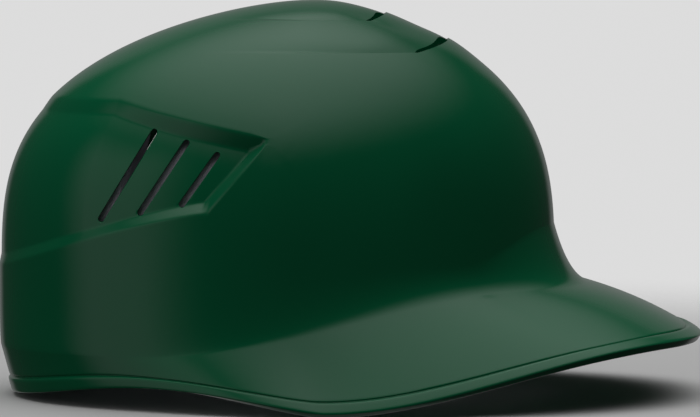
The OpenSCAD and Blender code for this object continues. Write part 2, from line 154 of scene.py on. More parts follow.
# The lining
foam_t = 11
comfort_t = 5
pad_gap = 0.6
panel_lead = 24
panel_over = 8
dip_room = 0.6


class Vents:
    """A pair of top vents: how far forward the middle of its edge lies, half its span, the length
    of the lobe behind it, and how far its ends are swept back. The sides of the lobe are a level
    curve of the dome."""

    def __init__(self, tip, span, run, sweep):
        self.tip, self.span, self.run, self.sweep = tip, span, run, sweep

    def edge(self, y):
        """x of the edge at y, which sweeps back as a power of the distance from its tip."""
        return self.tip - self.sweep * np.abs(y / self.span) ** edge_power

    def half(self, s):
        """Half width of the lobe at s, 0 at its edge and 1 at its end, along the level curve."""
        corner = self.edge(self.span)
        k = share_at(corner, self.span)
        along = belt_cosine(corner - s * self.run, k)
        return dome_w / 2 * k * np.sqrt(np.maximum(0, 1 - along ** 2))

    def lobe(self, x, y):
        """(s, w) of plan points on the lobe, w from -1 to 1 across it, found in a few steps."""
        s = np.zeros(np.shape(x))
        for _ in range(16):
            w = np.clip(y / self.half(s), -1.2, 1.2)
            ahead = (self.edge(w * self.span) - x) / self.run
            s = np.clip(ahead, 0, 1)
        return ahead, y / self.half(s)

    def outline(self, n=600):
        """Plan outline of the lobe's left half: its edge from the middle out, then its side."""
        y = np.linspace(0, self.span, n)
        s = np.linspace(0, 1, n)
        x = np.concatenate([self.edge(y), self.edge(self.span) - s * self.run])
        return x, np.concatenate([y, self.half(s)])


FRONT_VENTS = Vents(41, 44, 95, 13.3)
REAR_VENTS = Vents(15, 28.5, 62, 6.6)
VENTS = FRONT_VENTS, REAR_VENTS
edge_power = 2.5
vent_w = 4.2
vent_dip = 2.1
hood_rise = 0.8
hood_l = 16
bridge = 4
dip_edge = 26
dip_side = 10
dip_fade = 1.2
dip_spine = 0.7
dip_thin = 1.2
lobe_blend = 0.6
# The step at the side of a lobe runs out over this width, and its nose curls down behind the slit
side_step = 1.6
nose_curl = 0.2
nose_l = 5.5
# The tool that cuts a vent: its reach ahead of the swept edge, its distance from the lobe's end,
# the number of its sides, and the levels of its rings above the crown
vent_ahead = 0.12
vent_end = 0.5
vent_sides = 80
vent_levels = (20, 0, -30, -60)


def smooth(t):
    """Smoothstep of t clipped to 0 to 1: 3t² - 2t³."""
    u = np.clip(t, 0, 1)
    return u * u * (3 - 2 * u)


def mix(p, q, t):
    """Straight blend from p to q."""
    return p + (q - p) * t


def fold(a):
    """Bearing measured from the front to either side, 0 to 180."""
    b = np.abs(a)
    return np.where(b > 180, 360 - b, b)


def sind(a):
    return np.sin(np.radians(a))


def cosd(a):
    return np.cos(np.radians(a))


def signed_pow(x, e):
    """Power of a number's size, with its sign."""
    return np.sign(x) * np.abs(x) ** e


def point(x, y, z):
    """Arrays of x, y and z as one array of points."""
    return np.stack(np.broadcast_arrays(x, y, z), axis=-1)


def unit(v):
    """Vectors at length one."""
    return v / np.linalg.norm(v, axis=-1, keepdims=True)


def grow(t):
    """An array of numbers with a last axis, so that it scales points."""
    return np.asarray(t)[..., None]


# The dome: level curves are ellipses about a crown that lies ahead of the middle, and their size
# falls off as a superellipse from the belt to the crown

crown_low = crown_soft ** dome_round
crown_range = (1 + crown_soft ** 2) ** (dome_round / 2) - crown_low


def belt_x(a):
    return dome_mid + dome_l / 2 * cosd(a)


def belt_y(a):
    return dome_w / 2 * sind(a)


def reach(z):
    """Share of the belt's radius at level z: (f^(2/round) - soft²)^½, where f is
    range (1 - t^steep) + low."""
    t = np.clip((z - belt_h) / dome_h, 0, 1)
    f = crown_range * (1 - t ** dome_steep) + crown_low
    return np.sqrt(np.maximum(0, f ** (2 / dome_round) - crown_soft ** 2))


def height_at(k):
    """Level at share k of the belt's radius, the inverse of reach."""
    f = (k * k + crown_soft ** 2) ** (dome_round / 2) - crown_low
    return belt_h + dome_h * np.maximum(0, 1 - f / crown_range) ** (1 / dome_steep)


def flat_at(x, y):
    """How far the flat in front of the crown lies below the full dome."""
    along = smooth(1 - np.abs(x - flat_x) / flat_reach)
    return flat_depth * along * (1 - smooth((np.abs(y) - flat_half) / flat_fade))


def share_at(x, y):
    """Share of the belt's radius over a plan point: the root of the level ellipse's equation."""
    half_l, half_w = dome_l / 2, dome_w / 2
    u, w, c = (x - crown_x) / half_l, y / half_w, -crown_fwd / half_l
    return (-u * c + np.sqrt(u * u * c * c + (1 - c * c) * (u * u + w * w))) / (1 - c * c)


def belt_cosine(x, k):
    """Cosine of the bearing at x on the level curve at share k of the belt's radius."""
    return ((x - crown_x) / k + crown_x - dome_mid) / (dome_l / 2)


def bearing_at(x, y):
    """Bearing of a plan point on the dome, from 0 to 180, for points on the left."""
    k = np.maximum(share_at(x, y), 1e-9)
    return np.degrees(np.arctan2(np.abs(y) / k / (dome_w / 2), belt_cosine(x, k)))


def dome_height(x, y):
    """Height of the dome over a plan point."""
    return height_at(share_at(x, y)) - flat_at(x, y)


def dome_point(a, z):
    """Point of the dome at a bearing and a level on the full dome."""
    k = reach(z)
    x, y = mix(crown_x, belt_x(a), k), belt_y(a) * k
    return point(x, y, z - flat_at(x, y))


def normal_of(face, a, at, above, below):
    """Normal of a face, from small differences of its points along both parameters."""
    along = face(a + 0.5, at) - face(a - 0.5, at)
    return unit(np.cross(along, face(a, above) - face(a, below)))


def dome_normal(a, z):
    dz, top = 0.25, total_h - 0.2
    return normal_of(dome_point, a, z, np.minimum(top, z + dz), np.minimum(top - dz, z - dz))


# The skirt: from the dome down to the rim, with the bill at the front

def bill_share(a):
    """Share of the bill, from 1 at the front to 0 behind the temple."""
    return smooth((cosd(a) - bill_from) / bill_over)


def front_share(a):
    """Share of the bill's middle, which alone is bowed and pushed out over the brow."""
    return smooth((cosd(a) - front_from) / front_over)


def rim_point(a):
    """The rim: a superellipse in front of the temples, and a half ellipse with an arch behind
    them that the bill's flare runs out into."""
    c, e, half = cosd(a), 2 / bill_round, rim_w / 2
    back_half = mix(rim_back_w / 2, half, smooth((c + flare_l) / flare_l))
    f = np.maximum(c, 0) ** e
    front = point(mix(temple_x, tip_x, f), half * signed_pow(sind(a), e),
                  rim_lift + tip_h * smooth(1.1 * f))
    r = np.maximum(-c, 0)
    arch = np.maximum(0, np.sin(math.pi * r ** arch_power)) ** arch_power
    back = point(mix(temple_x, rim_back_x, r), back_half * sind(a), rim_lift + arch_h * arch)
    return np.where(grow(c > 0), front, back)


def skirt_top(a):
    """Level at which the skirt leaves the dome."""
    return mix(belt_h, brow_h + mix(side_rise, brow_rise, front_share(a)), bill_share(a))


def brow_point(a):
    """Corner of the curve round the brow: the dome's end, pushed out and lowered."""
    p, s = dome_point(a, skirt_top(a)), bill_share(a)
    away = unit(point(p[..., 0] - dome_mid, p[..., 1], 0 * s)) * grow(brow_out * front_share(a))
    low = point(p[..., 0], p[..., 1], mix(belt_h * side_turn, brow_h, s))
    return low + away


def bow_point(a):
    """Corner of the curve down to the rim, bowed up by the bill's share."""
    s = front_share(a)
    f = grow(mix(side_bow, bill_bow_at, s))
    return mix(brow_point(a), rim_point(a), f) + point(0 * s, 0 * s, bill_bow * s)


def skirt(a, w):
    """Face of the skirt: two quadratic curves, w 1 to 2 round the brow and 2 to 3 to the rim."""
    turn = mix(brow_point(a), bow_point(a), turn_at)

    def curve(p, q, r, t):
        return mix(mix(p, q, grow(t)), mix(q, r, grow(t)), grow(t))
    upper = curve(dome_point(a, skirt_top(a)), brow_point(a), turn, w - 1)
    lower = curve(turn, bow_point(a), rim_point(a), w - 2)
    return np.where(grow(w < 2), upper, lower)


def skirt_normal(a, w):
    dw = 0.01
    return normal_of(skirt, a, w, np.maximum(1, w - dw), np.minimum(3, w + dw))


def from_rim(a, d):
    """Parameter w of the skirt at distance d above the rim."""
    return 3 - d / (2 * np.linalg.norm(rim_point(a) - bow_point(a), axis=-1))


# The side panel

def panel_top(b):
    return mix(point_h, panel_top_h, np.clip((b - point_a) / (crease_a - point_a), 0, 1))


def front_line(b):
    return mix(point_h - nose_h, heel_h, (b - point_a) / (heel_a - point_a))


def heel_line(b):
    """The lower edge behind the heel, falling as a power of the distance to the back."""
    x0 = belt_x(heel_a)
    run = np.maximum(0, (x0 - belt_x(b)) / (x0 + total_l / 2))
    return heel_h - (heel_h - panel_low_h) * run ** heel_power


def panel_low(b):
    return np.maximum(front_line(b), heel_line(b))


def panel_low_in(b):
    return np.maximum(front_line(b) + front_slope_w, heel_line(b) + lower_slope_w)


def panel_squeeze(b):
    """Share of the full depth that the slopes leave room for, small at the front point."""
    room = panel_top(b) - panel_low(b) - floor_min
    return np.clip(room / (upper_slope_w + panel_low_in(b) - panel_low(b)), 0, 1)


def floor_depth(b, depth):
    """Depth of the panel's floor, falling from its front point to the back over a crease."""
    crease_depth = (depth + panel_back_depth) / 2 - crease_fill
    stops = [point_a, crease_a, panel_middle_a, back_a]
    return np.interp(b, stops, [depth, crease_depth, crease_depth + 0.2, panel_back_depth])


def ramp(t, e=0.14):
    """t clipped to 0 to 1 with its two corners rounded by parabolas of half width e."""
    low = (np.clip(t + e, 0, 2 * e)) ** 2 / (4 * e)
    high = (np.clip(t - 1 + e, 0, 2 * e)) ** 2 / (4 * e)
    return low + np.clip(t - e, 0, None) - high - np.clip(t - 1 - e, 0, None)


def soft_min(p, q, e):
    """Smaller of p and q, with the corner between them rounded over e."""
    h = np.clip(e - np.abs(p - q), 0, None) / e
    return np.minimum(p, q) - h * h * e / 4


def dent(b, z, depth):
    """Depth of the panel at a bearing and level: the floor's depth times a ramp up each edge."""
    s = np.maximum(panel_squeeze(b), 0.02)
    down = (panel_top(b) - z) / upper_slope_w
    up = (z - panel_low(b)) / np.maximum(0.01, panel_low_in(b) - panel_low(b))
    start = smooth((b - point_a + nose_back) / nose_run)
    share = s * ramp(soft_min(down, up, ridge_round * s) / s) * start
    return floor_depth(b, depth) * share


# The lobes and hoods of the top vents

def dip(vents, x, y, curl=0.0):
    """Depth of a lobe: deepest along its outline, rising to the dome over dip_edge behind its edge
    and over dip_side along its sides, and fading towards its end. A spine is left along the middle
    of the dome, and a step side_step wide leads down to the lobe at its sides."""
    s, w = vents.lobe(x, y)
    behind = s * vents.run
    inside = (1 - np.abs(w)) * vents.half(np.clip(s, 0, 1))
    nose = (1 - smooth(behind / dip_edge)) * smooth(np.abs(w) / dip_spine)
    side = np.clip(1 - inside / dip_side, 0, 1) ** 2
    depth = vent_dip * np.clip(1 - s, 0, 1) ** dip_fade * (1 - (1 - nose) * (1 - side))
    depth = depth + curl * np.clip(1 - behind / nose_l, 0, 1) ** 2
    depth = depth * smooth(inside / side_step)
    return np.where((s >= 0) & (np.abs(w) <= 1), depth, 0)


def hood(vents, x, y):
    """Rise of the hood in front of a pair of vents, falling off forward and to both sides."""
    w = y / vents.span
    s = (vents.edge(y) - x) / -hood_l
    rise = hood_rise * (1 - smooth(s)) * (1 - np.abs(w) ** 4)
    return np.where((s >= 0) & (np.abs(w) <= 1), rise, 0)


def vent_lift(x, y):
    """Rise of the outer face over the dome round the top vents."""
    front, rear = (dip(vents, x, y, nose_curl) for vents in VENTS)
    return sum(hood(vents, x, y) for vents in VENTS) + soft_min(-front, -rear, lobe_blend)


def vent_back(x, y):
    """How far the inner face is lowered so that the wall under a lobe stays thick enough."""
    deep = np.maximum(*(dip(vents, x, y) for vents in VENTS))
    return np.maximum(0, deep - dip_thin)


# The skin of the shell is one grid: columns at bearings round the cap, rows from the crown down
# the outside, round the lip and back up the inside

def lobe_share(vents, b, rest):
    """Share of the belt's radius at which the column at bearing b crosses a lobe's outline, and
    behind the lobe's end a blend towards the share rest at the back."""
    x, y = vents.outline()
    bearings, shares = bearing_at(x, y), share_at(x, y)
    after = smooth((b - bearings[-1]) / (back_a - bearings[-1]))
    return mix(np.interp(b, bearings, shares), rest, after)


def corner_bearing(vents):
    """Bearing of the outer end of a pair's swept edge."""
    return float(bearing_at(vents.edge(vents.span), vents.span))


def spaced(stops, counts):
    """Even steps from each stop to the next, a count of them each time, without the last stop."""
    return np.concatenate([np.linspace(p, q, n, endpoint=False)
                           for p, q, n in zip(stops, stops[1:], counts)])


def shell_bearings():
    """Bearings of the columns, close together where the panel's edges run across them."""
    stops = (0, *map(corner_bearing, VENTS), 62, 88, point_a, heel_a, 107, crease_a - 4, crease_a,
             crease_a + 4, back_a)
    left = spaced(stops, (28, 6, 9, 20, 6, 30, 9, 24, 7, 7, 28))
    return np.concatenate([left, [back_a], 360 - left[:0:-1]])


def row_edges(b):
    """Levels of the panel's four edge lines. In front of the panel's point they fan out."""
    s, top, low = panel_squeeze(b), panel_top(b), panel_low(b)
    behind = top, top - upper_slope_w * s, low + (panel_low_in(b) - low) * s, low
    spread = smooth((point_a - b) / fan_run)
    top, low = mix(point_h, fan_top, spread), mix(point_h - nose_h, fan_low, spread)
    ahead = top, mix(top, low, fan_edge), mix(low, top, fan_edge), low
    return np.where(b >= point_a, behind, ahead)


def dome_rows(b, crown_counts, panel_counts, near_edge):
    """Levels of the rows on the dome: rows of the crown that gather at both lobe outlines, at the
    distances near_edge to either side, then rows across the panel's slopes and floor, whose ends
    reach a little beyond their edge lines, and down to the skirt."""
    top, top_in, low_in, low = row_edges(b)
    over, under = 0.3 * (top - top_in), 0.3 * (low_in - low)
    stops = top + over, top_in - over, low_in + under, low - under, skirt_top(b)
    near = [d * (2 / dome_w) for d in near_edge]
    around = [-d for d in reversed(near)] + near
    rear, front = lobe_share(REAR_VENTS, b, rest=0.4), lobe_share(FRONT_VENTS, b, rest=0.62)

    def fill(p, q, n):
        return [mix(p, q, (i + 1) / (n + 1)) for i in range(n)]
    shares = (fill(0 * rear, rear - near[-1], crown_counts[0])
              + [rear + d for d in around]
              + fill(rear + near[-1], front - near[-1], crown_counts[1])
              + [front + d for d in around]
              + fill(front + near[-1], reach(stops[0]), crown_counts[2]))
    return np.concatenate([height_at(np.array(shares)), spaced(stops, panel_counts)])


def bead_out(d, height, proud):
    """How far the bead stands out at distance d above the rim: a flattened half round,
    proud (1 - u^6)^½, less a narrow bell-shaped groove above it."""
    u = (d / height - bead_middle) / bead_half
    groove = groove_depth * np.exp(-((d - height * groove_at) / groove_w) ** 2)
    return proud * np.sqrt(np.maximum(0, 1 - u ** 6)) - groove


# The middle and the half height of the bead, and the middle of the groove, as shares of its height
bead_middle = 0.52
bead_half = 0.54
groove_at = 1.16
groove_depth = 0.5
groove_w = 0.42

# Distances of the rows above the rim, from the face over the bead down to the lip, and then, with
# how far out each lies, the rows round the lip to the inner face
bead_rows = (11, 9.7, 8.7, 8, 7.6, 7.3, 7.05, 6.85, 6.65, 6.45, 6.25, 6, 5.6, 5, 4.2, 3.3, 2.4,
             1.7, 1.1, 0.7, 0.4, 0.18, 0.04)
lip_rows = ((0, 0), (0, -0.6), (0, -1.4), (0, -2.05), (0.1, -2.5), (0.35, -2.84), (0.8, -3))
# The dome's rows outside and inside: how many lie between the lobes' outlines, how many across the
# panel's slopes and floor, and how far from an outline they gather
outer_rows = ((14, 8, 10), (13, 22, 13, 12), (0.04, 0.55, 1.1, 1.7, 2.4, 3.3, 4.6, 6.4))
inner_rows = ((6, 3, 4), (7, 8, 7, 5), (0.3, 2.4))
# The skirt's rows: how many go round the brow and on to the bead, and inside, the first ones'
# distances above the rim, how many go up from there, and those round the brow
brow_rows, bill_rows = 16, 18
inner_edge, inner_bill = (3, 7, 11), 9
inner_brow = np.linspace(1.86, 1, 7)


def shell_grid(settings):
    """Grid of points of the shell's skin, columns by rows, and its two poles."""
    a = shell_bearings()
    b = fold(a)
    z = dome_rows(b, *outer_rows)
    outer = dome_point(a, z) - dome_normal(a, z) * grow(dent(b, z, settings.panel_depth))
    outer[..., 2] += vent_lift(outer[..., 0], outer[..., 1])

    beads = bead_out(np.array(bead_rows), settings.bead_h, settings.bead_out)
    edge_rows = [*zip(bead_rows, beads), *lip_rows]
    between = np.linspace(0, 1, bill_rows + 2)[1:-1, None]
    w = np.concatenate([np.linspace(1, 2, brow_rows)[:, None] + 0 * a,
                        mix(2, from_rim(a, bead_rows[0]), between),
                        [from_rim(a, d) for d, _ in edge_rows]])
    out = np.zeros(len(w))
    out[-len(edge_rows):] = [o for _, o in edge_rows]
    down = skirt(a, w) + skirt_normal(a, w) * out[:, None, None]

    *first, last = (from_rim(a, d) for d in inner_edge)
    w = np.concatenate([first, mix(last, 2, np.linspace(0, 1, inner_bill)[:, None]),
                        inner_brow[:, None] + 0 * a])
    up = skirt(a, w) - skirt_normal(a, w) * settings.wall
    z = dome_rows(b, *inner_rows)[::-1]
    deep = settings.wall + dent(b, z, settings.panel_depth)
    inner = dome_point(a, z) - dome_normal(a, z) * grow(deep)
    inner[..., 2] -= vent_back(inner[..., 0], inner[..., 1])
    rows = np.concatenate([outer, down, up, inner])
    peak = total_h + float(vent_lift(np.array(crown_x), np.array(0.0)))
    return rows.transpose(1, 0, 2), (crown_x, 0, peak), (crown_x, 0, total_h - settings.wall)


def skin_mesh(name, grid, first, last, uv=None):
    """Mesh of a closed skin: grid is columns by rows, each column runs from the pole first to the
    pole last, and the last column joins the first."""
    m, n = grid.shape[:2]
    points = np.concatenate([grid.reshape(-1, 3), [first, last]]) * MM
    i, j = np.arange(m)[:, None], np.arange(n - 1)[None, :]
    p, q = i * n + j, (i + 1) % m * n + j
    quads = np.stack([p, p + 1, q + 1, q], axis=-1).reshape(-1, 4)
    here, there = np.arange(m) * n, (np.arange(m) + 1) % m * n
    top = np.stack([np.full(m, m * n), here, there], axis=-1)
    end = np.stack([np.full(m, m * n + 1), there + n - 1, here + n - 1], axis=-1)
    mesh = bpy.data.meshes.new(name)
    mesh.from_pydata(points.tolist(), [], quads.tolist() + top.tolist() + end.tolist())
    if uv is not None:
        corners = np.empty(len(mesh.loops), dtype=np.int32)
        mesh.loops.foreach_get("vertex_index", corners)
        layer = mesh.uv_layers.new(name="Surface")
        layer.data.foreach_set("uv", uv[corners].ravel())
    mesh.update()
    return mesh


def new_piece(name, mesh, material):
    """Object at the origin with one material, linked to the scene."""
    piece = bpy.data.objects.new(name, mesh)
    bpy.context.scene.collection.objects.link(piece)
    mesh.materials.append(material)
    return piece


def stadium(length, radius, count=40):
    """Outline of a slot with round ends: points of a circle, pulled apart along its length."""
    t = (np.arange(count) + 0.5) / count * 2 * math.pi
    along = radius * np.cos(t) + np.sign(np.cos(t)) * (length / 2 - radius)
    return along, radius * np.sin(t)


def slot_surface(origin, axes, along, across, depth):
    """Points of the panel's face over the points of a slot's plane. The dome's face is found by
    halving the interval that holds it, and the panel's depth, found in two more steps, is taken
    off along the third axis."""
    base = origin + grow(along) * axes[0] + grow(across) * axes[1]
    low, high = (np.full(np.shape(along), end) for end in face_range)
    for _ in range(halvings):
        middle = (low + high) / 2
        q = base + grow(middle) * axes[2]
        inside = dome_height(q[..., 0], q[..., 1]) > q[..., 2]
        low, high = np.where(inside, middle, low), np.where(inside, high, middle)
    q = base + grow(low) * axes[2]
    b = bearing_at(q[..., 0], q[..., 1])
    n = dome_normal(b, q[..., 2])
    facing = n @ axes[2]
    deep = dent(b, q[..., 2], depth)
    for _ in range(2):
        foot = q + grow(deep) * (n - axes[2] / grow(facing))
        deep = dent(bearing_at(foot[..., 0], foot[..., 1]), foot[..., 2], depth)
    return q - grow(deep / facing) * axes[2]


def sided(grid, side):
    """A tool's grid and its two poles, mirrored for the right side."""
    first, last = grid[:, 0].mean(axis=0), grid[:, -1].mean(axis=0)
    if side > 0:
        return grid, first, last
    mirror = np.array([1, -1, 1])
    return grid[::-1] * mirror, first * mirror, last * mirror


def slot_cutter(x, z, lean, length, width, depth, side):
    """Grid and poles of the tool that cuts a side slot straight in from the side: rings of a
    stadium that follow the panel's face, wide above it, rounded over its edge, straight below."""
    a = math.degrees(math.acos(belt_cosine(x, reach(z))))
    lean = math.radians(lean)
    axis, n = np.array([math.sin(lean), 0, math.cos(lean)]), np.array([0.0, 1, 0])
    axes = [axis, np.cross(n, axis), n]
    origin = dome_point(np.array(a), np.array(float(z)))
    extra = slot_edge * (1 - sind(edge_angles))
    fall = slot_edge * (1 - cosd(edge_angles))
    rings = []
    for e, f in zip((extra[0], *extra, 0, 0), (-slot_above, *fall, *slot_below)):
        along, across = stadium(length + 2 * e, width / 2 + e)
        rings.append(slot_surface(origin, axes, along, across, depth) - n * f)
    return sided(np.array(rings).transpose(1, 0, 2), side)


def vent_cutter(vents, side):
    """Grid and poles of the tool that cuts a top vent: an upright wall along the swept edge, just
    behind the hood, as wide as the vent and rounded off towards both ends."""
    i = np.arange(vent_sides)
    t = np.cos((i + 0.5) / vent_sides * 2 * math.pi)
    y = mix(bridge, vents.span - vent_end, (1 + t) / 2)
    behind = -vent_w * np.sqrt(1 - t ** 6)
    x = vents.edge(y) + np.where(i < vent_sides / 2, vent_ahead, behind)
    rings = [point(x, y, total_h + z) for z in vent_levels]
    return sided(np.array(rings).transpose(1, 0, 2)[::-1], side)


def cut_out(piece, cutters):
    """Cuts closed meshes out of a piece, keeps the result as its mesh and removes the rest."""
    tools = []
    for mesh in cutters:
        tool = bpy.data.objects.new(mesh.name, mesh)
        bpy.context.scene.collection.objects.link(tool)
        tools.append(tool)
        cut = piece.modifiers.new(mesh.name, "BOOLEAN")
        cut.operation, cut.solver, cut.object = "DIFFERENCE", "MANIFOLD", tool
    bpy.context.view_layer.update()
    evaluated = piece.evaluated_get(bpy.context.evaluated_depsgraph_get())
    old, cut_mesh = piece.data, bpy.data.meshes.new_from_object(evaluated)
    piece.modifiers.clear()
    piece.data = cut_mesh
    cut_mesh.name = piece.name
    for tool in tools:
        bpy.data.objects.remove(tool)
    for mesh in (old, *cutters):
        bpy.data.meshes.remove(mesh)


# The lining follows the inside of the wall, and hangs straight down below the belt

def lining_point(a, z, depth, panel_depth):
    """Point of the lining at a bearing and height, depth in from the shell's outer face, with room
    for the panel's floor and for the tuck of the rim."""
    b, level = fold(a), np.maximum(z, belt_h + 1.0)
    n = dome_normal(a, level)
    flat = unit(n * np.array([1, 1, 0]))
    out = np.where(grow(z < level), flat, n)
    share = smooth((b - point_a + panel_lead) / panel_lead)
    boss = floor_depth(np.maximum(b, point_a), panel_depth) * share
    room = mix(boss, dip_room, smooth((z - panel_top_h + upper_slope_w) / panel_over))
    tuck = rear_tuck * (np.maximum(0, belt_h - z) / belt_h) ** 2
    p = dome_point(a, level)
    p[..., 2] += np.minimum(0, z - level)
    return p - out * grow(depth + room + tuck)


def plan_outline(count, corner, stretch):
    """Points of a superellipse of the given power, evenly spaced along it on a plan that is
    stretched so much longer than high."""
    t = np.linspace(0, 2 * math.pi, 4001)
    x, y = signed_pow(np.cos(t), 2 / corner), signed_pow(np.sin(t), 2 / corner)
    run = np.concatenate([[0], np.cumsum(np.hypot(np.diff(x) * stretch, np.diff(y)))])
    at = np.linspace(0, run[-1], count, endpoint=False)
    return np.interp(at, run, x), np.interp(at, run, y)


# Sections of a pad from the middle of its back to the middle of its face: share of the way out to
# its edge, and share of its thickness
def foam_section():
    """A die-cut block: a flat back, rounded arrises and a face that crowns towards the middle."""
    arris = np.linspace(0, math.pi / 2, 6)
    back = [(r, 0) for r in (0.2, 0.45, 0.7, 0.88)]
    back_edge = [(0.985 - 0.05 * (1 - math.sin(t)), 0.1 * (1 - math.cos(t))) for t in arris]
    face_edge = [(0.985 - 0.1 * (1 - math.cos(t)), 0.42 + 0.2 * math.sin(t)) for t in arris]
    face = [(r, 0.62 + 0.38 * ((1 - (r / 0.885) ** 2.6) ** 0.8))
            for r in (0.84, 0.78, 0.7, 0.6, 0.48, 0.34, 0.18)]
    return back + back_edge + face_edge + face


def comfort_section():
    """A sewn pillow: a flat back, a round piping at its edge, a seam inside it and a full face."""
    turn = np.linspace(-math.pi / 2, math.pi * 0.8, 9)
    back = [(r, 0) for r in (0.2, 0.45, 0.7, 0.86, 0.93)]
    piping = [(0.955 + 0.03 * math.cos(t), 0.15 + 0.13 * math.sin(t)) for t in turn]
    face = [(r, 0.14 + 0.86 * (1 - (r / 0.93) ** 3.4) ** 0.62)
            for r in (0.925, 0.91, 0.885, 0.85, 0.8, 0.73, 0.63, 0.5, 0.34, 0.17)]
    return back + piping + face


def wall_pad(name, spot, section, stretch, corner, count):
    """Closed mesh of a pad: spot gives a point from plan coordinates of -1 to 1 and a share of the
    thickness, and the section is carried round the plan's outline."""
    x, y = plan_outline(count, corner, stretch)
    out, share = np.array(section).T
    u, w = x[:, None] * out, y[:, None] * out
    grid = spot(u, w, share + 0 * u)
    first = spot(np.zeros(1), np.zeros(1), np.zeros(1))[0]
    last = spot(np.zeros(1), np.zeros(1), np.full(1, share[-1] + 0.01))[0]
    plan = np.stack([u * stretch, w], axis=-1)[::-1].reshape(-1, 2)
    return skin_mesh(name, grid[::-1], first, last, np.concatenate([plan, np.zeros((2, 2))]))


def lining_spot(span, heights, back, thick, panel_depth):
    """Plan coordinates to points of the lining between two bearings and two heights."""
    a_mid, a_half = (span[0] + span[1]) / 2, (span[1] - span[0]) / 2
    z_mid, z_half = (heights[0] + heights[1]) / 2, (heights[1] - heights[0]) / 2

    def spot(u, w, share):
        deep = back + thick * share
        return lining_point(a_mid + a_half * u, z_mid + z_half * w, deep, panel_depth)
    return spot, math.radians(2 * a_half) * dome_w / 2 / (2 * z_half)


def crown_spot(k1, back, thick):
    """Plan coordinates to points under the crown, out to share k1 of the belt's radius."""
    def spot(u, w, share):
        k = np.minimum(1, np.hypot(u, w)) * k1
        a = np.degrees(np.arctan2(w, u))
        z = np.minimum(total_h - 0.3, height_at(k))
        p = dome_point(a, z)
        return p - dome_normal(a, z) * grow(back + thick * share)
    return spot


def at_dome(share):
    """Height at a share of the dome's height above the belt."""
    return belt_h + dome_h * share


# The two layers of pads. A pad on the wall has the bearings and heights that it lies between; the
# round one under the crown has the share of the belt's radius that it goes out to
front_low, side_low, rear_low = brow_h + 6, belt_h - 4, belt_h - 10
front_high, side_high = at_dome(0.55), at_dome(0.6)
crown_front = (at_dome(0.605), at_dome(0.79))
crown_ring = (at_dome(0.685), at_dome(0.895))
FOAM = SimpleNamespace(
    slot="impact_foam", fill=0.9, thick=foam_t, section=foam_section(), corner=7, points=112,
    crown="foam_crown", crown_k=0.22, pads={
        "foam_front": ((-24, 24), (front_low, front_high)),
        "foam_front_left": ((28, 62), (front_low, front_high)),
        "foam_front_right": ((-62, -28), (front_low, front_high)),
        "foam_side_left": ((66, 121), (side_low, side_high)),
        "foam_side_right": ((-121, -66), (side_low, side_high)),
        "foam_rear_left": ((125, 157), (rear_low, side_high)),
        "foam_rear_right": ((-157, -125), (rear_low, side_high)),
        "foam_rear": ((161, 199), (rear_low, side_high)),
        "foam_crown_front": ((-18, 18), crown_front),
        "foam_crown_rear": ((162, 198), crown_ring),
        "foam_crown_left": ((68, 112), crown_ring),
        "foam_crown_right": ((-112, -68), crown_ring),
    })
COMFORT = SimpleNamespace(
    slot="comfort_fabric", fill=0.6, thick=comfort_t, section=comfort_section(), corner=6,
    points=128, crown="comfort_crown", crown_k=0.19, pads={
        "comfort_front": ((-38, 38), (front_low + 2, at_dome(0.32))),
        "comfort_left": ((72, 116), (side_low + 4, at_dome(0.335))),
        "comfort_right": ((-116, -72), (side_low + 4, at_dome(0.335))),
        "comfort_rear": ((152, 208), (rear_low + 4, at_dome(0.245))),
    })
crown_drop = 1.4
crown_points = 96


# Shader trees, written as expressions on sockets

def math_node(operation, reflected=False):
    """A method of Value that adds a Math node, with its two values swapped if it is reflected."""
    def method(value, *others):
        values = (*others, value) if reflected else (value, *others)
        return value.shader.node("ShaderNodeMath", {"operation": operation},
                                 dict(enumerate(values)))
    return method


class Value:
    """A number in a shader tree. Python's operators on it add Math nodes."""

    def __init__(self, shader, socket):
        self.shader, self.socket = shader, socket

    __add__ = __radd__ = math_node("ADD")
    __sub__, __rsub__ = math_node("SUBTRACT"), math_node("SUBTRACT", reflected=True)
    __mul__ = __rmul__ = math_node("MULTIPLY")
    __truediv__, __rtruediv__ = math_node("DIVIDE"), math_node("DIVIDE", reflected=True)
    __pow__ = math_node("POWER")
    sin, abs, at_least = math_node("SINE"), math_node("ABSOLUTE"), math_node("MAXIMUM")

    def split(self):
        """The three components of a vector."""
        self.shader.node("ShaderNodeSeparateXYZ", None, {"Vector": self})
        axes = self.shader.tree.nodes[-1]
        return [Value(self.shader, axis) for axis in axes.outputs]


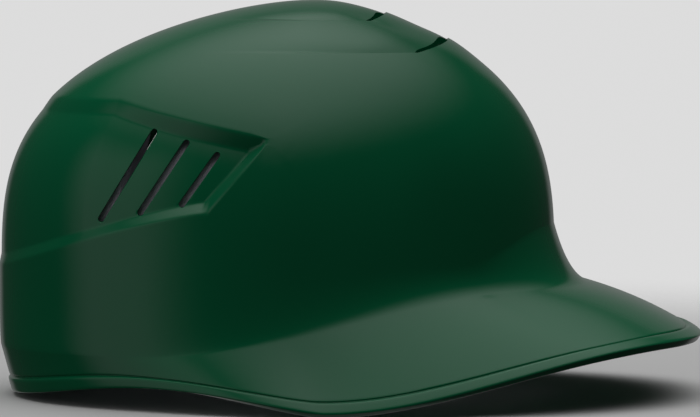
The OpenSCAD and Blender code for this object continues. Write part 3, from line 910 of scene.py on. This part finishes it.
class Shader:
    """The node tree of a material or world, emptied and built by node()."""

    def __init__(self, block):
        block.use_nodes = True
        self.block, self.tree = block, block.node_tree
        self.tree.nodes.clear()

    def node(self, kind, settings=None, inputs=None, output=0):
        """Adds a node, sets it, sets or links its inputs, and returns one of its outputs."""
        made = self.tree.nodes.new(kind)
        for name, value in (settings or {}).items():
            setattr(made, name, value)
        for name, value in (inputs or {}).items():
            if isinstance(value, Value):
                self.tree.links.new(value.socket, made.inputs[name])
            else:
                made.inputs[name].default_value = value
        return Value(self, made.outputs[output]) if made.outputs else None

    def place(self):
        """Object coordinates, in metres."""
        return self.node("ShaderNodeTexCoord", output="Object")

    def noise(self, where, scale, detail=2.0, roughness=0.5):
        return self.node("ShaderNodeTexNoise", None, {
            "Vector": where, "Scale": scale, "Detail": detail, "Roughness": roughness}, "Fac")

    def step(self, value, low, high):
        """0 below low, 1 above high and smooth between."""
        return self.node("ShaderNodeMapRange", {"interpolation_type": "SMOOTHSTEP"},
                         {"Value": value, "From Min": low, "From Max": high})

    def blend(self, share, first, second):
        """Colour that goes from first to second."""
        return self.node("ShaderNodeMix", {"data_type": "RGBA"},
                         {"Factor": share, 6: first, 7: second}, output=2)

    def bump(self, height, depth):
        """Normal bent by a height that is worth depth metres."""
        return self.node("ShaderNodeBump", None, {"Height": height, "Distance": depth,
                                                  "Strength": 1.0}, output="Normal")

    def surface(self, inputs):
        """Puts a Principled surface on the output, and returns the finished material."""
        shaded = self.node("ShaderNodeBsdfPrincipled", None, inputs)
        self.node("ShaderNodeOutputMaterial", None, {"Surface": shaded})
        return self.block


def rgba(colour, share=1, lift=0):
    """A colour times share plus lift, with its alpha."""
    return (*(c * share + lift for c in colour), 1)


def shell_plastic(settings):
    """High-gloss moulded plastic: an even dark green with a faint drift in tone, a fine ripple in
    the gloss, and a few hair scratches that only show in highlights."""
    s = Shader(bpy.data.materials.new("shell_plastic"))
    where, green = s.place(), settings.shell_colour
    drift = s.noise(where, 9.0)
    colour = s.blend(s.step(drift, 0.35, 0.65), rgba(green, 0.88), rgba(green))
    stretched = s.node("ShaderNodeMapping", None, {"Vector": where, "Rotation": (0.4, 0.7, 0.3),
                                                   "Scale": (30, 420, 300)})
    hairs = s.step(s.noise(stretched, 3.0, 3.0, 0.6), 0.68, 0.76)
    patches = s.step(s.noise(where, 22.0, 3.0), 0.45, 0.65)
    haze = s.noise(where, 60.0, 4.0, 0.6)
    roughness = settings.shell_roughness + (haze - 0.5) * 0.05 + hairs * patches * 0.1
    ripple = s.bump(s.noise(where, 260.0, 1.0), 0.00002)
    return s.surface({"Base Color": colour, "Roughness": roughness, "Normal": ripple, "IOR": 1.36})


def impact_foam(settings):
    """Closed-cell foam: pale grey with a lavender cast, matt, with fine cells and small pore pits
    that are darkened in the colour as painted shade.
    """
    s = Shader(bpy.data.materials.new("impact_foam"))
    where, pale = s.place(), settings.foam_colour
    cells = s.node("ShaderNodeTexVoronoi", {"feature": "DISTANCE_TO_EDGE"},
                   {"Vector": where, "Scale": 1400.0})
    pore_pits_and_painted_shade = s.step(s.noise(where, 900.0, 2.0), 0.6, 0.7)
    drift = s.step(s.noise(where, 40.0, 3.0), 0.3, 0.7)
    colour = s.blend(drift, rgba(pale, 0.84), rgba(pale))
    # painted shade: the pore pits are darkened in the colour, as well as sunk by the bump below
    colour = s.blend(pore_pits_and_painted_shade * 0.35, colour, rgba(pale, 0.5))
    height = s.step(cells, 0.0, 0.25) - pore_pits_and_painted_shade * 0.8
    return s.surface({"Base Color": colour, "Roughness": 0.86 + drift * 0.06,
                      "Normal": s.bump(height, 0.00012), "IOR": 1.45})


def comfort_fabric(settings):
    """Knitted fabric: columns of slanted stitches on the piece's own UV map, black, with a painted
    sheen that lightens the stitches' crowns and darkens the hollows between them, and a random fuzz
    in tone."""
    s = Shader(bpy.data.materials.new("comfort_fabric"))
    black = settings.fabric_colour
    uv = s.node("ShaderNodeUVMap", {"uv_map": "Surface"})
    across, along, _ = uv.split()
    wales = (across * 2 * math.pi * 45).sin()
    courses = (along * 2 * math.pi * 38 + wales * 0.6).sin()
    stitch_relief_and_painted_sheen = (wales.abs() * courses.abs()) ** 0.6
    fuzz = s.noise(s.place(), 1500.0, 3.0)
    # painted sheen and shade: lighter on the stitches' crowns and darker between them, plus random
    # fuzz in tone
    lift = stitch_relief_and_painted_sheen * 0.5 + fuzz * 0.4
    colour = s.blend(lift, rgba(black, 0.6), rgba(black, 2.2, 0.004))
    height = stitch_relief_and_painted_sheen + fuzz * 0.3
    return s.surface({"Base Color": colour, "Roughness": 0.9, "Normal": s.bump(height, 0.0003),
                      "Sheen Weight": 0.25, "Sheen Roughness": 0.5})


# The floor, in metres: how far it lies below the ground, how far out it starts to fade, and how far
# its mesh goes, as a share of the radius at which it has faded out
floor_drop = 0.0004
floor_plain = 0.25
floor_over = 1.02
floor_sides = 96


def studio_floor(settings):
    """Pale floor that fades out with distance, so that it runs into the background. Only the
    camera sees it, from above: the cap itself stands in a dark surround."""
    s = Shader(bpy.data.materials.new("studio_floor"))
    x, y, _ = s.place().split()
    away = (x * x + y * y) ** 0.5
    plain = s.node("ShaderNodeBsdfDiffuse", None, {"Color": rgba(settings.floor_colour)})
    gone = s.node("ShaderNodeBsdfTransparent")
    below = s.node("ShaderNodeNewGeometry", output="Backfacing")
    seen = s.node("ShaderNodeLightPath", output="Is Camera Ray")
    share = s.step(away, floor_plain, settings.floor_radius).at_least(below).at_least(1 - seen)
    mixed = s.node("ShaderNodeMixShader", None, {0: share, 1: plain, 2: gone})
    s.node("ShaderNodeOutputMaterial", None, {"Surface": mixed})
    return s.block


def studio_world(settings):
    """Studio light from all round: a soft panel overhead, a tall one at the rear on the camera's
    side, dark flags elsewhere, and the pale background that the camera sees. The edges of the
    panels are steps over the direction's height z and its nearness to the camera's side."""
    world = bpy.data.worlds.new("studio")
    bpy.context.scene.world = world
    s = Shader(world)
    x, y, z = s.node("ShaderNodeTexCoord", output="Generated").split()
    level = (x * x + y * y + 0.0001) ** 0.5
    near = y / level * -1
    far = near * -1
    overhead = s.step(z - x.abs() * 0.2, 0.43, 1.08) * settings.top_light
    panel = s.step(far, -0.93, -0.6) * s.step(near + z * 0.35, -0.1, 0.3) * s.step(x * -1, 0, 0.05)
    side = panel * s.step(z, -0.6, -0.2) * (1 - s.step(z, 0.45, 0.75)) * settings.side_light
    backdrop = s.step(far, 0.88, 0.95) * (1 - s.step(z, 0.45, 0.8)) * settings.back_light
    light = overhead.at_least(side).at_least(backdrop) + settings.fill_light
    seen = s.node("ShaderNodeLightPath", output="Is Camera Ray")
    strength = seen * settings.background + (1 - seen) * light
    shown = s.node("ShaderNodeBackground", None, {"Color": (1, 1, 1, 1), "Strength": strength})
    s.node("ShaderNodeOutputWorld", None, {"Surface": shown})


COLOUR = {"subtype": "COLOR", "size": 3, "min": 0, "max": 1}
LENGTH = {"subtype": "DISTANCE", "unit": "LENGTH"}
LIGHT = {"min": 0, "max": 4}


class ShellSettings(PropertyGroup):
    """Sizes and finish of the shell."""
    wall: FloatProperty(
        name="Wall", description="Thickness of the moulded wall in millimetres",
        default=3.0, min=2.4, max=3.6)
    panel_depth: FloatProperty(
        name="Panel depth", description="Depth of the side panel behind its front point in "
        "millimetres", default=4.5, min=3.0, max=5.0)
    slot_w: FloatProperty(
        name="Slot width", description="Width of a side slot in millimetres",
        default=2.4, min=2.0, max=3.5)
    bead_h: FloatProperty(
        name="Bead height", description="Height of the bead along the rim in millimetres",
        default=6.0, min=4.0, max=7.0)
    bead_out: FloatProperty(
        name="Bead proud", description="How far the bead stands proud of the wall in millimetres",
        default=0.9, min=0.6, max=1.8)
    shell_colour: FloatVectorProperty(
        name="Shell colour", description="Colour of the plastic",
        default=(0.0015, 0.128, 0.05), **COLOUR)
    shell_roughness: FloatProperty(
        name="Shell roughness", description="Roughness of the gloss",
        default=0.13, min=0, max=1, subtype="FACTOR")


class LiningSettings(PropertyGroup):
    """Finish of the padding."""
    foam_colour: FloatVectorProperty(
        name="Foam colour", description="Colour of the impact foam",
        default=(0.84, 0.81, 0.93), **COLOUR)
    fabric_colour: FloatVectorProperty(
        name="Fabric colour", description="Colour of the comfort pads",
        default=(0.02, 0.02, 0.022), **COLOUR)


class StageSettings(PropertyGroup):
    """The studio round the cap."""
    camera_elevation: FloatProperty(
        name="Camera elevation", description="How far above level the camera looks from",
        default=math.radians(3.0), subtype="ANGLE", unit="ROTATION")
    camera_distance: FloatProperty(
        name="Camera distance", description="From the camera to the middle of the cap",
        default=2.0, **LENGTH)
    aim_height: FloatProperty(
        name="Aim height", description="Height that the camera aims at", default=0.0766, **LENGTH)
    view_width: FloatProperty(
        name="View width", description="Width of the view at the cap", default=0.2926, **LENGTH)
    floor_radius: FloatProperty(
        name="Floor radius", description="Where the floor has faded out", default=0.75, **LENGTH)
    floor_colour: FloatVectorProperty(
        name="Floor colour", description="Colour of the floor", default=(0.62,) * 3, **COLOUR)
    background: FloatProperty(
        name="Background", description="Brightness of the background", default=0.72, min=0, max=1)
    top_light: FloatProperty(
        name="Top light", description="Brightness of the panel overhead", default=1.85, **LIGHT)
    side_light: FloatProperty(
        name="Side light", description="Brightness of the panel at the side",
        default=0.55, **LIGHT)
    back_light: FloatProperty(
        name="Back light", description="Brightness of the backdrop in the gloss of the cap's far "
        "edges", default=0.17, **LIGHT)
    fill_light: FloatProperty(
        name="Fill light", description="Brightness of everything else", default=0.03, **LIGHT)


# Angles in degrees from which an edge is shaded sharp
shell_sharp = 32
pad_sharp = 50


class SKULLCAP_OT_shell(Operator):
    """Builds the moulded shell with its panels, slots, vents and beaded rim"""
    bl_idname = "skullcap.shell"
    bl_label = "Shell"

    def execute(self, context):
        settings = context.scene.skullcap_shell
        piece = new_piece("moulded_shell", skin_mesh("moulded_shell", *shell_grid(settings)),
                          shell_plastic(settings))
        cutters = []
        for side in (1, -1):
            for i, length, lean in zip((-1, 0, 1), slot_lengths, slot_leans):
                tool = slot_cutter(slot_x + i * slot_pitch, slot_h - i * slot_drop, lean, length,
                                   settings.slot_w, settings.panel_depth, side)
                cutters.append(skin_mesh("slot_tool", *tool))
            for vents in VENTS:
                cutters.append(skin_mesh("vent_tool", *vent_cutter(vents, side)))
        before = len(piece.data.polygons)
        cut_out(piece, cutters)
        if len(piece.data.polygons) < before / 2:
            raise RuntimeError("the slots and vents weren't cut")
        piece.data.shade_smooth()
        piece.data.set_sharp_from_angle(angle=math.radians(shell_sharp))
        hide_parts("shell")
        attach(piece, "root")
        return {"FINISHED"}


def lay_pads(layer, back, panel_depth, material):
    """Builds a layer of pads on the wall and its round one under the crown, with their backs at a
    depth from the shell's outer face."""
    shapes = {}
    for node, (span, heights) in layer.pads.items():
        spot, stretch = lining_spot(span, heights, back, layer.thick, panel_depth)
        shapes[node] = spot, layer.section, stretch, layer.corner, layer.points
    spot = crown_spot(layer.crown_k, back + crown_drop, layer.thick)
    shapes[layer.crown] = spot, layer.section, 1, 2, crown_points
    for node, shape in shapes.items():
        piece = new_piece(node + "_pad", wall_pad(node + "_pad", *shape), material)
        piece.data.shade_smooth()
        piece.data.set_sharp_from_angle(angle=math.radians(pad_sharp))
        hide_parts(node)
        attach(piece, "root")


class SKULLCAP_OT_foam(Operator):
    """Builds the impact foam pads that line the shell"""
    bl_idname = "skullcap.foam"
    bl_label = "Impact foam"

    def execute(self, context):
        shell = context.scene.skullcap_shell
        material = impact_foam(context.scene.skullcap_lining)
        lay_pads(FOAM, shell.wall + pad_gap, shell.panel_depth, material)
        return {"FINISHED"}


class SKULLCAP_OT_comfort(Operator):
    """Builds the fabric-covered comfort pads that touch the head"""
    bl_idname = "skullcap.comfort"
    bl_label = "Comfort pads"

    def execute(self, context):
        shell = context.scene.skullcap_shell
        material = comfort_fabric(context.scene.skullcap_lining)
        lay_pads(COMFORT, shell.wall + foam_t + 2 * pad_gap, shell.panel_depth, material)
        return {"FINISHED"}


class SKULLCAP_OT_stage(Operator):
    """Sets the camera, the pale floor and the studio light"""
    bl_idname = "skullcap.stage"
    bl_label = "Studio"

    def execute(self, context):
        settings = context.scene.skullcap_stage
        scene = context.scene
        camera = bpy.data.objects.new("camera", bpy.data.cameras.new("camera"))
        scene.collection.objects.link(camera)
        tilt, distance = settings.camera_elevation, settings.camera_distance
        height = settings.aim_height + distance * math.sin(tilt)
        camera.location = (0, -distance * math.cos(tilt), height)
        camera.rotation_euler = (math.pi / 2 - tilt, 0, 0)
        camera.data.sensor_width = 36
        camera.data.sensor_fit = "HORIZONTAL"
        camera.data.lens = camera.data.sensor_width * distance / settings.view_width
        camera.data.clip_end = 50
        scene.camera = camera
        scene.view_settings.view_transform = "Standard"

        turn = np.linspace(0, 2 * math.pi, floor_sides, endpoint=False)
        rim = point(np.cos(turn), np.sin(turn), 0) * settings.floor_radius * floor_over
        mesh = bpy.data.meshes.new("floor")
        mesh.from_pydata((rim - [0, 0, floor_drop]).tolist(), [], [list(range(floor_sides))])
        floor = new_piece("floor", mesh, studio_floor(settings))
        studio_world(settings)
        return {"FINISHED"}


class SKULLCAP_PT_tools(Panel):
    """Lists the pieces of the cap"""
    bl_idname = "SKULLCAP_PT_tools"
    bl_label = "Skull Cap"
    bl_space_type = "VIEW_3D"
    bl_region_type = "UI"
    bl_category = "Skull Cap"

    def draw(self, context):
        layout = self.layout
        for name in GROUPS:
            settings = getattr(context.scene, name)
            for key in settings.__annotations__:
                layout.prop(settings, key)
        for operator in OPERATORS:
            layout.operator(operator.bl_idname)


GROUPS = {"skullcap_shell": ShellSettings, "skullcap_lining": LiningSettings,
          "skullcap_stage": StageSettings}
OPERATORS = (SKULLCAP_OT_stage, SKULLCAP_OT_shell, SKULLCAP_OT_foam, SKULLCAP_OT_comfort)


def register():
    for item in (*GROUPS.values(), *OPERATORS, SKULLCAP_PT_tools):
        bpy.utils.register_class(item)
    for name, group in GROUPS.items():
        setattr(bpy.types.Scene, name, PointerProperty(type=group))


def unregister():
    for name in GROUPS:
        delattr(bpy.types.Scene, name)
    for item in (SKULLCAP_PT_tools, *reversed(OPERATORS), *reversed(GROUPS.values())):
        bpy.utils.unregister_class(item)


def main():
    register()
    bpy.ops.skullcap.stage()
    bpy.ops.skullcap.shell()
    bpy.ops.skullcap.foam()
    bpy.ops.skullcap.comfort()


if __name__ == "__main__":
    main()
